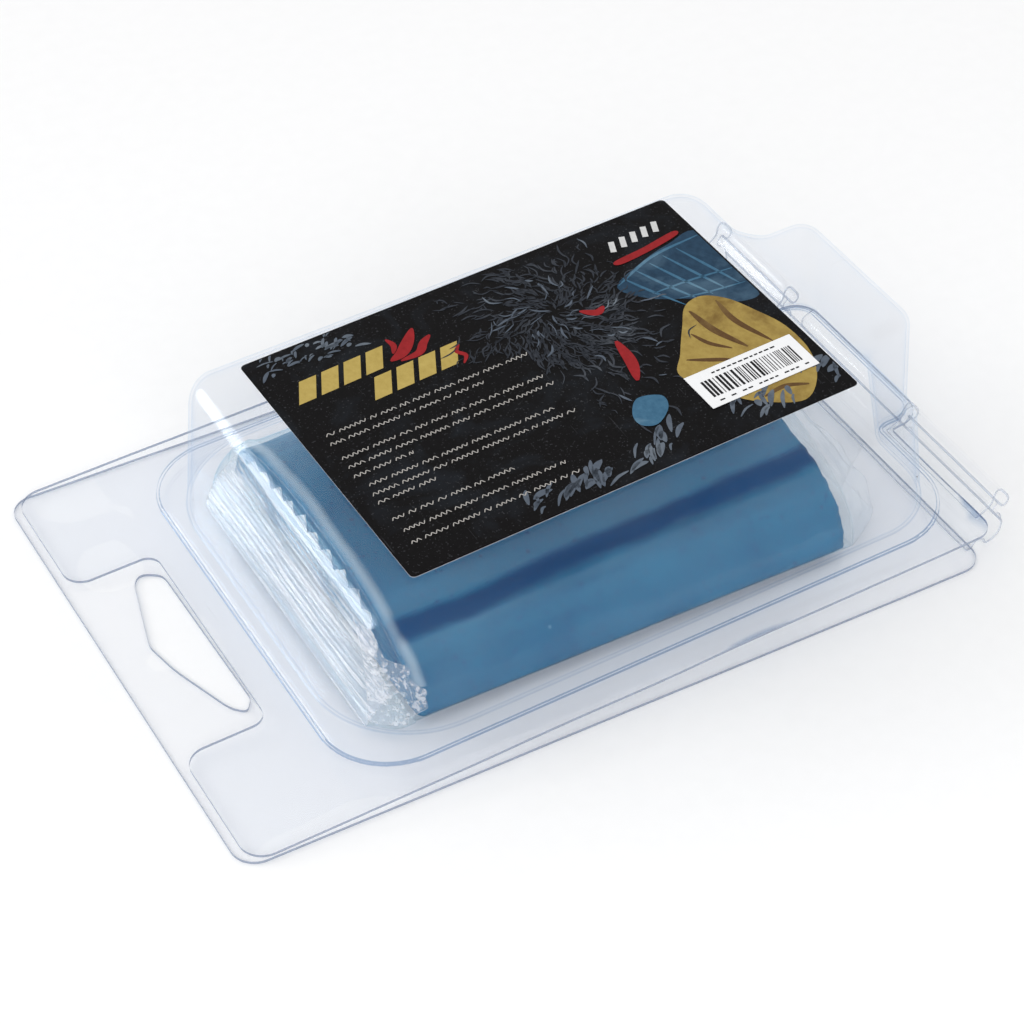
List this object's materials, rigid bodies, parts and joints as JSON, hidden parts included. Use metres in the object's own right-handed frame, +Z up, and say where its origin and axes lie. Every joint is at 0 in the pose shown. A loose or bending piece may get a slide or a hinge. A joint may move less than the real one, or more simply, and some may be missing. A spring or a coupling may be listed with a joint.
{
  "type": "clay bar",
  "caption": "Blue detailing clay bar in a clear film wrapper, held loose in a clear hinged clamshell with a hang hole, end boss and a dark printed label on its tub.",
  "frame": {"origin": "middle of the footprint, on the surface the pack lies on", "axes": "+X from the hang end to the hinge end, +Y across the pack, +Z up out of the tub"},
  "size_m": [0.138, 0.09, 0.0289],
  "materials": {
    "clear_sheet": "clear thermoformed sheet",
    "label_paper": "matt printed paper",
    "patch_paper": "white printed paper",
    "clay": "smooth putty",
    "wrap_film": "clear crinkled film"
  },
  "bodies": {
    "back": {"back_shell": "clear_sheet", "back_hinge_fold": "clear_sheet", "hinge_web": "clear_sheet"},
    "front": {"front_shell": "clear_sheet", "front_hinge_bead": "clear_sheet", "label": "label_paper", "barcode_patch": "patch_paper"},
    "wrapped_bar": {"clay_bar": "clay", "film_sleeve": "wrap_film", "film_back_seam": "wrap_film", "film_hang_fin": "wrap_film", "film_hinge_tail": "wrap_film"}
  },
  "joints": [
    {"name": "lid_hinge", "type": "hinge", "parent": "back", "child": "front", "pos_m": [0.0682, 0, 0.00655], "axis": [0, 1, 0], "range_deg": [0, 110]},
    {"name": "bar_shift", "type": "slide", "parent": "back", "child": "wrapped_bar", "axis": [1, 0, 0], "range_m": [-0.001, 0.003]}
  ]
}
